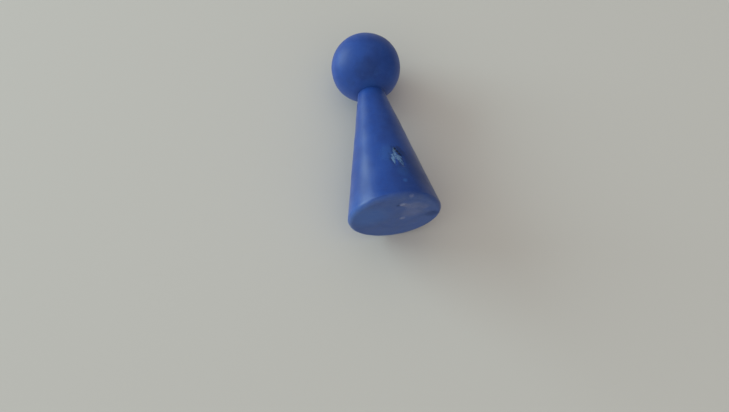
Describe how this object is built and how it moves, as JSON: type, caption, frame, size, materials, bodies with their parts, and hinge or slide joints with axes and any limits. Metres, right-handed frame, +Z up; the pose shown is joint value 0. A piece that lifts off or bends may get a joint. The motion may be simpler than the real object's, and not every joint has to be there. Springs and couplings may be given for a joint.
{
  "type": "game pawn",
  "caption": "Ball-headed cone pawn for a race game: a turned wooden cone with a wooden ball glued on its tenon, finished in blue lacquer over a pale undercoat.",
  "frame": {"origin": "centre of the flat base, on the surface that the pawn stands on", "axes": "+Z up the turning axis from the base to the ball; -Y towards the side that faces up in the picture, where the pawn lies on its side; +X to the right in the picture"},
  "size_m": [0.012, 0.012, 0.0285],
  "materials": {
    "lacquer": "glossy pigmented blue lacquer, lightly scuffed and chipped",
    "undercoat": "matt pale undercoat",
    "wood": "turned beech, bare",
    "glue": "set wood glue"
  },
  "bodies": {
    "root": {"wooden_cone": "wood", "wooden_ball": "wood", "tenon_glue": "glue", "cone_undercoat": "undercoat", "ball_undercoat": "undercoat", "cone_lacquer": "lacquer", "ball_lacquer": "lacquer"}
  },
  "joints": []
}
